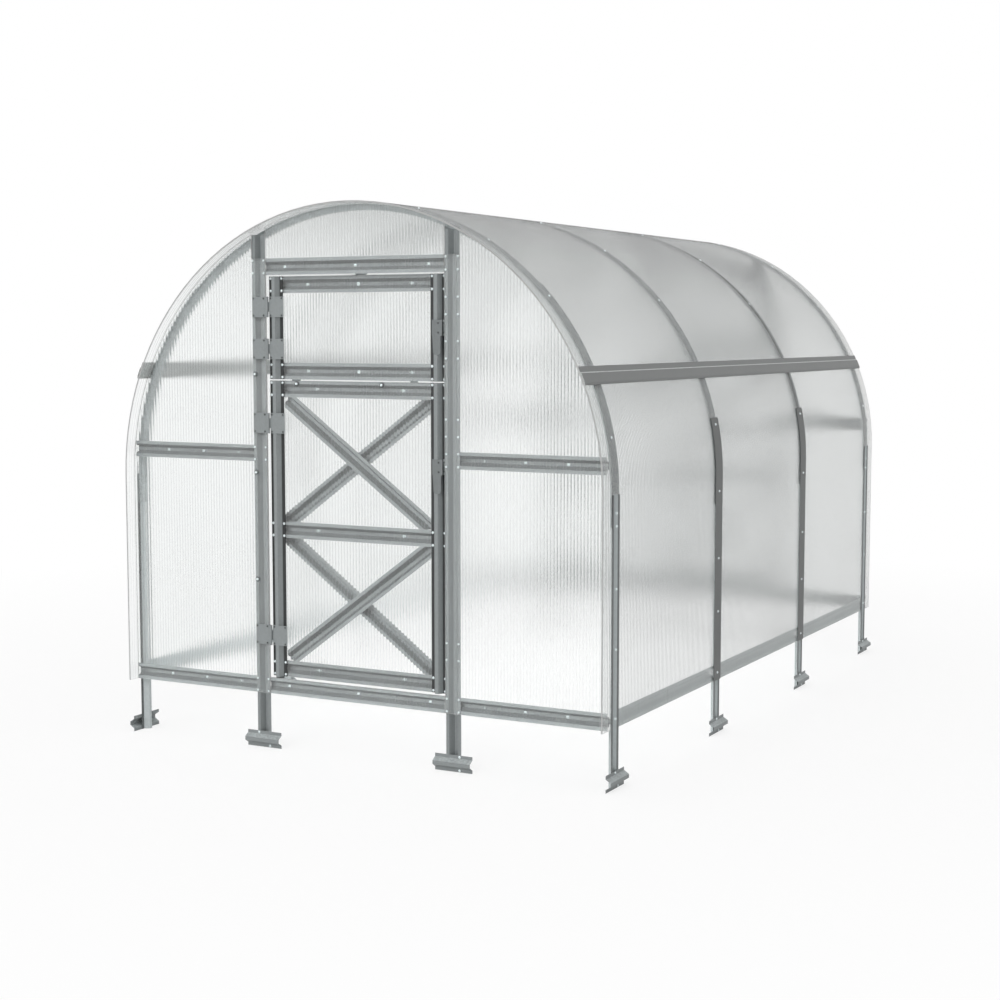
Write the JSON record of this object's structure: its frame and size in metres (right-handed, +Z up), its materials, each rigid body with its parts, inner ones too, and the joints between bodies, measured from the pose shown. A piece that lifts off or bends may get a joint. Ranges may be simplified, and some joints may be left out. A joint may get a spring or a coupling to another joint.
{
  "type": "polycarbonate hoop greenhouse",
  "caption": "Walk-in hoop greenhouse with folded steel arches under bent twin-wall sheets, clad gables, a two-leaf stable door and legs with cross feet.",
  "frame": {"origin": "on the ground, at the middle of the house's box", "axes": "+Z up, +Y along the house towards the rear gable, front gable with the door facing -Y, +X to the right seen from the front"},
  "size_m": [2.0424, 3.12, 1.9998],
  "materials": {
    "inner_steel": "galvanised, folded from sheet",
    "outer_steel": "galvanised, dull grey",
    "fittings": "zinc plated",
    "roof_sheet": "clear twin-wall polycarbonate, fluted along the arch",
    "gable_sheet": "clear twin-wall polycarbonate, fluted upright"
  },
  "bodies": {
    "frame": {"front_arch": "inner_steel", "second_arch": "inner_steel", "third_arch": "inner_steel", "rear_arch": "inner_steel", "front_posts": "inner_steel", "rear_posts": "inner_steel", "side_base_rails": "inner_steel", "front_base_rails": "inner_steel", "rear_base_rails": "inner_steel", "front_mid_rails": "inner_steel", "rear_mid_rails": "inner_steel", "front_header": "inner_steel", "rear_header": "inner_steel", "rear_door_rails": "inner_steel", "rear_door_braces": "inner_steel", "left_legs": "outer_steel", "right_legs": "outer_steel", "side_feet": "outer_steel", "gable_feet": "outer_steel", "left_eaves_rail": "outer_steel", "right_eaves_rail": "outer_steel", "cover_strips": "outer_steel", "rear_door_stiles": "outer_steel", "post_hinges": "fittings", "rear_door_hinges": "fittings", "rear_door_latches": "fittings", "front_roof_sheet": "roof_sheet", "rear_roof_sheet": "roof_sheet", "front_side_panels": "gable_sheet", "front_top_panel": "gable_sheet", "front_sill_panel": "gable_sheet", "rear_side_panels": "gable_sheet", "rear_top_panel": "gable_sheet", "rear_sill_panel": "gable_sheet", "rear_door_sheets": "gable_sheet"},
    "lower_leaf": {"lower_leaf_stiles": "outer_steel", "lower_leaf_rails": "inner_steel", "lower_leaf_braces": "inner_steel", "lower_leaf_sheet": "gable_sheet", "lower_leaf_hinges": "fittings", "lower_leaf_latch": "fittings"},
    "upper_leaf": {"upper_leaf_stiles": "outer_steel", "upper_leaf_rails": "inner_steel", "upper_leaf_sheet": "gable_sheet", "upper_leaf_hinges": "fittings", "upper_leaf_latch": "fittings"}
  },
  "joints": [
    {"name": "lower_leaf_hinge", "type": "hinge", "parent": "frame", "child": "lower_leaf", "pos_m": [-0.362, -1.522, 0.82], "axis": [0, 0, -1], "range_deg": [0, 160]},
    {"name": "upper_leaf_hinge", "type": "hinge", "parent": "frame", "child": "upper_leaf", "pos_m": [-0.362, -1.522, 1.555], "axis": [0, 0, -1], "range_deg": [0, 160]}
  ]
}
